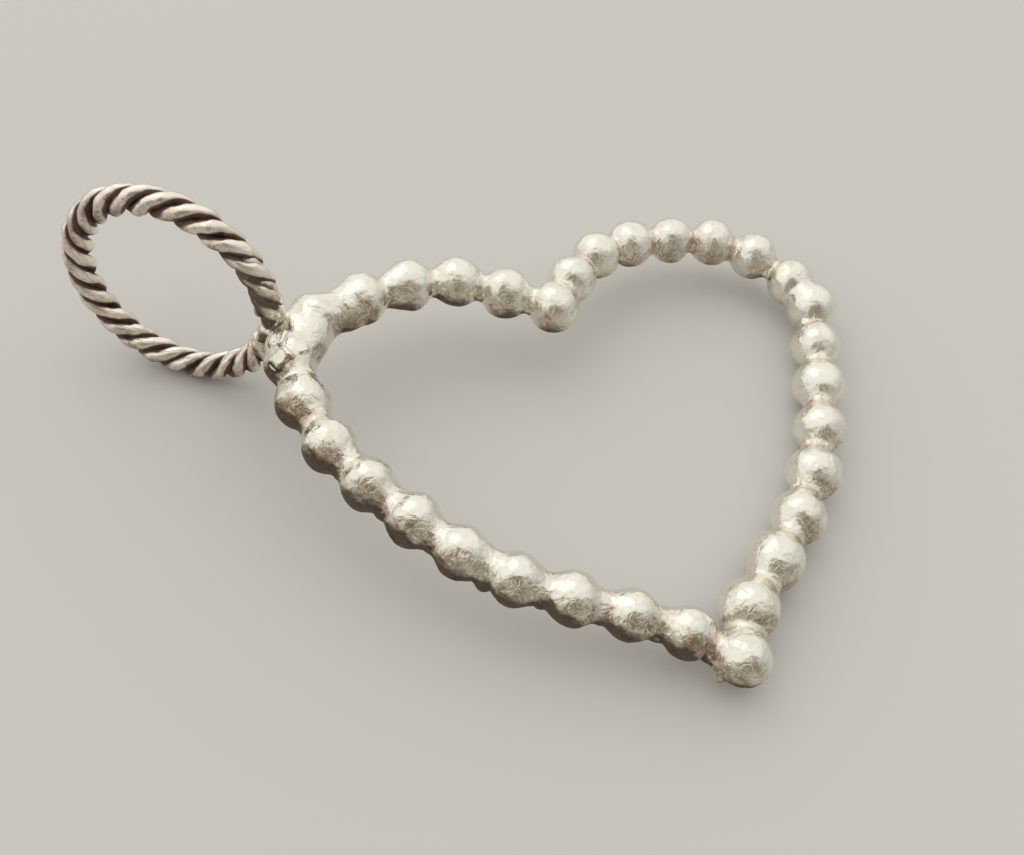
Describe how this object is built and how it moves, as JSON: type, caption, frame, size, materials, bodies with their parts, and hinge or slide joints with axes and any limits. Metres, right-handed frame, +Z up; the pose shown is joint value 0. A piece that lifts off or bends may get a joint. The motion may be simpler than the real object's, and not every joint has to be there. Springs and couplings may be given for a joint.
{
  "type": "heart pendant",
  "caption": "Open heart pendant of small soldered silver balls, hung by a twisted-wire ring soldered to the outer shoulder of one lobe.",
  "frame": {"origin": "middle of the footprint, on the surface that the pendant lies on", "axes": "+Z up from the surface; +Y from the heart towards the hanging ring; +X across, close to the ring's axis"},
  "size_m": [0.0286, 0.0422, 0.0122],
  "materials": {
    "ball_silver": "pale cast silver, satin and slightly uneven",
    "wire_silver": "oxidised silver wire, darker in the grooves of the twist",
    "solder_silver": "flowed silver solder, wrinkled, with a brown bloom"
  },
  "bodies": {
    "root": {"granule_notch": "ball_silver", "granule_left_01": "ball_silver", "granule_left_02": "ball_silver", "granule_left_03": "ball_silver", "granule_left_04": "ball_silver", "granule_left_05": "ball_silver", "granule_left_06": "ball_silver", "granule_left_07": "ball_silver", "granule_left_08": "ball_silver", "granule_left_09": "ball_silver", "granule_left_10": "ball_silver", "granule_left_11": "ball_silver", "granule_left_12": "ball_silver", "granule_left_13": "ball_silver", "granule_left_14": "ball_silver", "granule_left_15": "ball_silver", "granule_tip": "ball_silver", "granule_right_01": "ball_silver", "granule_right_02": "ball_silver", "granule_right_03": "ball_silver", "granule_right_04": "ball_silver", "granule_right_05": "ball_silver", "granule_right_06": "ball_silver", "granule_right_07": "ball_silver", "granule_right_08": "ball_silver", "granule_right_09": "ball_silver", "granule_right_10": "ball_silver", "granule_right_11": "ball_silver", "granule_right_12": "ball_silver", "granule_right_13": "ball_silver", "granule_right_14": "ball_silver", "granule_right_15": "ball_silver", "bail_strand_a": "wire_silver", "bail_strand_b": "wire_silver", "bail_strand_c": "wire_silver", "bail_solder": "solder_silver"}
  },
  "joints": []
}
